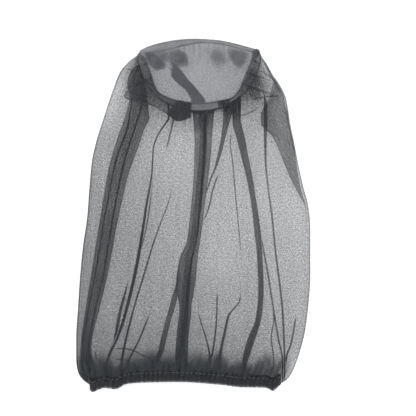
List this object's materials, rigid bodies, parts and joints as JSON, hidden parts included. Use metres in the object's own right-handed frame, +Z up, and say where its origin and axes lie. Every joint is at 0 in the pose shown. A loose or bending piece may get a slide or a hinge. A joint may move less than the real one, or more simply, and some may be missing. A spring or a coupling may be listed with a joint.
{
  "type": "beekeeping veil",
  "caption": "Soft pull-over beekeeping veil: light cloth crown, wide gathered tube of fine dark net and elastic neck hem, lying flat on its back.",
  "frame": {"origin": "middle of the outline's bounding box, on the surface that the veil lies on", "axes": "+Y along the veil towards its crown, +X across it, +Z up from the surface it lies on"},
  "size_m": [0.36, 0.5399, 0.0354],
  "materials": {
    "net": "matte",
    "crown_cloth": "satin",
    "elastic": "matte",
    "thread": "satin"
  },
  "bodies": {
    "root": {"crown_panel": "crown_cloth", "crown_band": "crown_cloth", "crown_overlock": "thread", "crown_stitching": "thread", "band_stitching": "thread", "net_heading_left": "net", "net_heading_right": "net", "net_front": "net", "net_back": "net", "centre_seam": "net", "centre_seam_thread": "thread", "hem_casing": "net", "hem_elastic": "elastic", "hem_stitching": "thread", "elastic_join_thread": "thread"}
  },
  "joints": []
}
